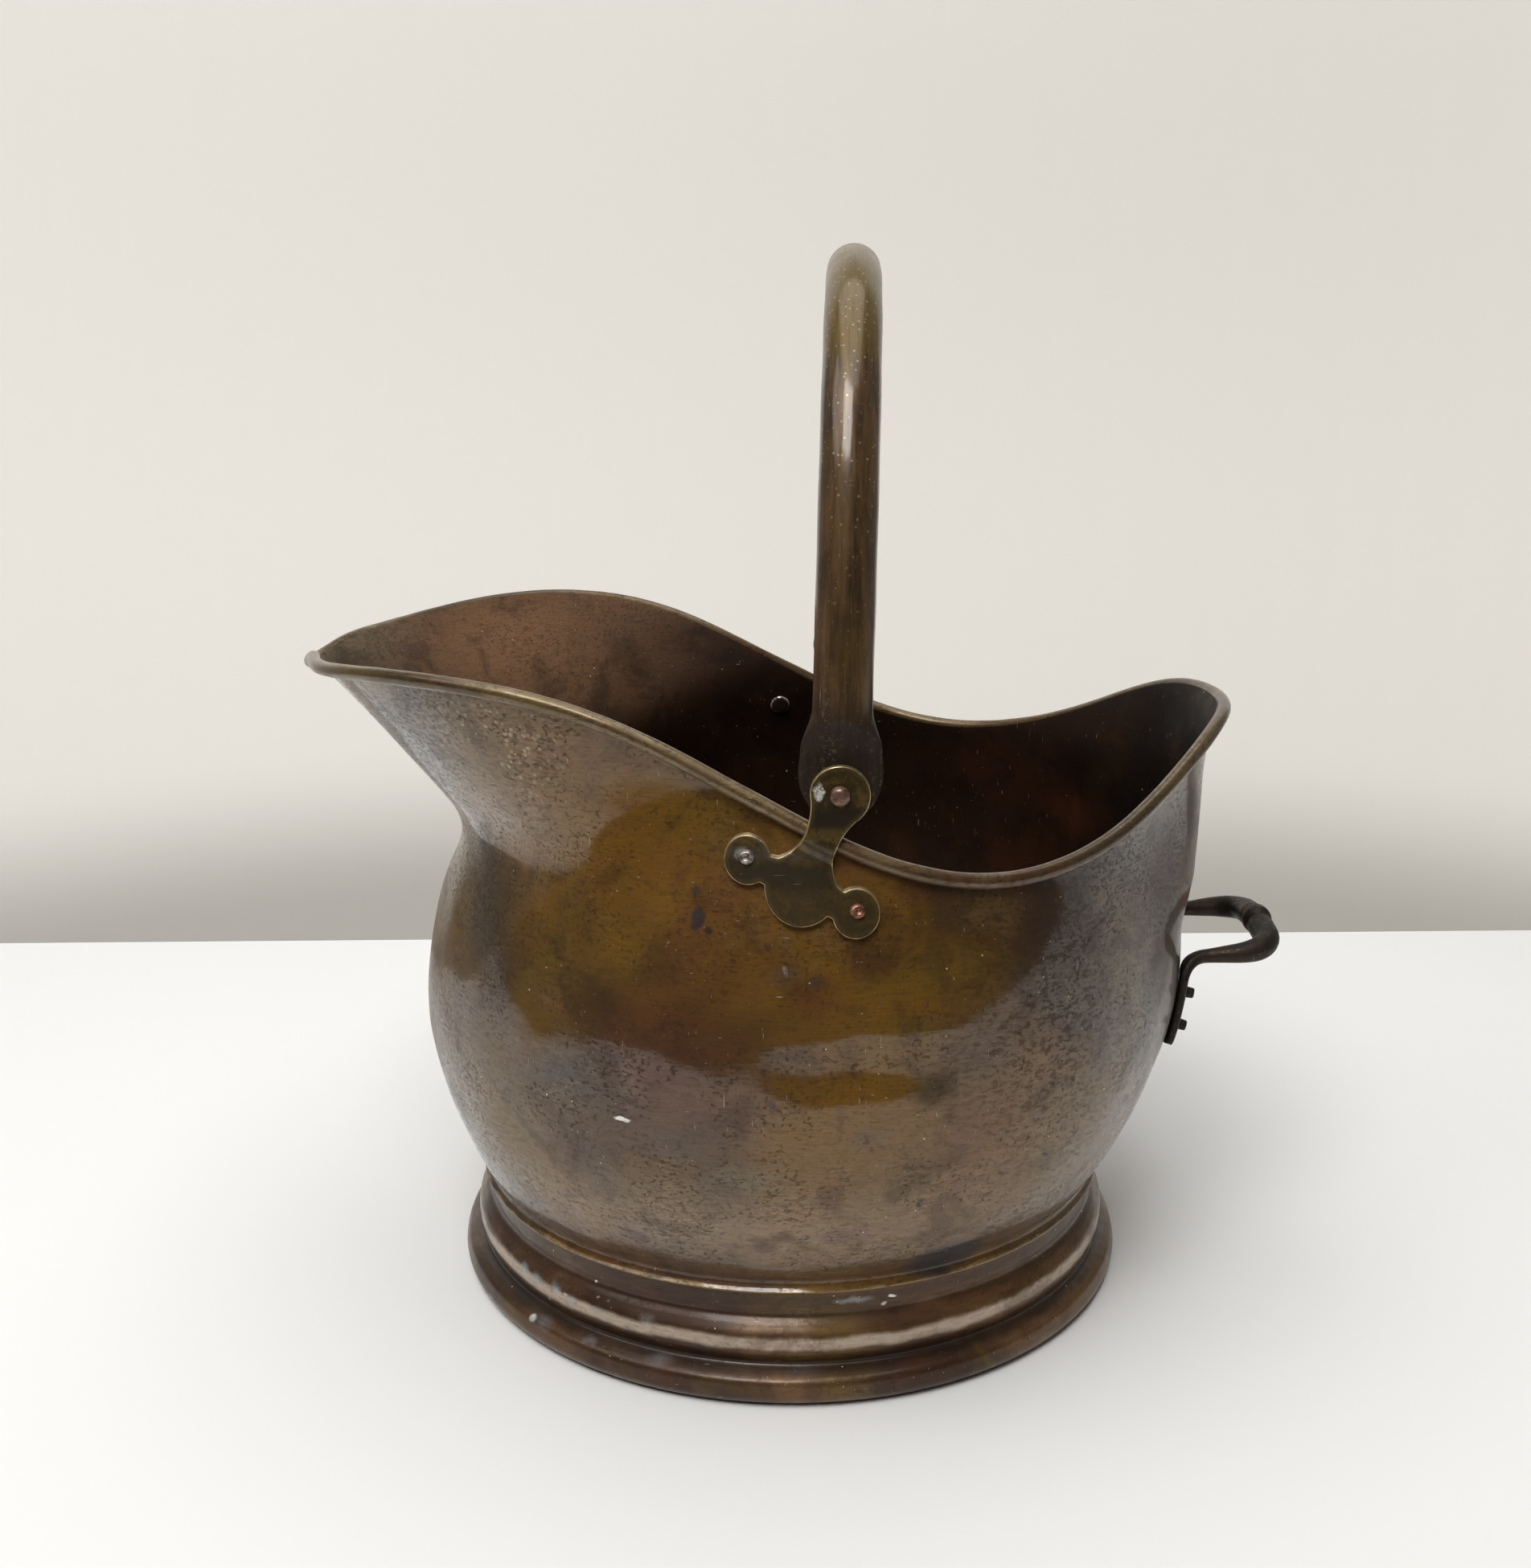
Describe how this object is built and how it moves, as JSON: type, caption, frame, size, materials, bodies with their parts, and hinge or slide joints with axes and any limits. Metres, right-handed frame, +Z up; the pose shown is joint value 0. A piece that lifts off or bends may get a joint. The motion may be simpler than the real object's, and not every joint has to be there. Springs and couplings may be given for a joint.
{
  "type": "coal scuttle",
  "caption": "Helmet-shaped sheet-brass coal scuttle with a rolled rim, pouring spout, spun foot ring, swinging tubular bail and a riveted loop handle at the back.",
  "frame": {"origin": "on the table surface, under the middle of the foot ring", "axes": "+Z up; -X towards the pouring spout and +X towards the loop handle; Y across the bowl, the XZ plane is the plane of symmetry"},
  "size_m": [0.385, 0.3008, 0.3957],
  "materials": {
    "bowl_brass": "aged sheet brass with a dark golden-brown patina, dull polish, small dents and stains",
    "foot_brass": "aged sheet brass, brown patina with pale deposits in its grooves",
    "bail_brass": "dark brown patina, smooth, with brighter handled places",
    "lug_brass": "aged cast brass with bright worn edges",
    "rivet_copper": "hammered copper, dull pinkish brown",
    "handle_iron": "dark brown wrought iron, slightly rough",
    "wire_iron": "plain drawn iron wire, hidden in the rolled rim"
  },
  "bodies": {
    "scuttle": {"body_shell": "bowl_brass", "rim_wire": "wire_iron", "bottom_plate": "bowl_brass", "foot_ring": "foot_brass", "lug_near": "lug_brass", "lug_far": "lug_brass", "pivot_rivet_near": "rivet_copper", "pivot_rivet_far": "rivet_copper", "lug_rivet_near_front": "rivet_copper", "lug_rivet_near_back": "rivet_copper", "lug_rivet_far_front": "rivet_copper", "lug_rivet_far_back": "rivet_copper", "rear_handle": "handle_iron", "rear_rivet_near_upper": "handle_iron", "rear_rivet_near_lower": "handle_iron", "rear_rivet_far_upper": "handle_iron", "rear_rivet_far_lower": "handle_iron"},
    "bail": {"bail_handle": "bail_brass"}
  },
  "joints": [
    {"name": "bail_swing", "type": "hinge", "parent": "scuttle", "child": "bail", "pos_m": [0.0205, 0, 0.2209], "axis": [0, 1, 0], "range_deg": [-55, 104]}
  ]
}
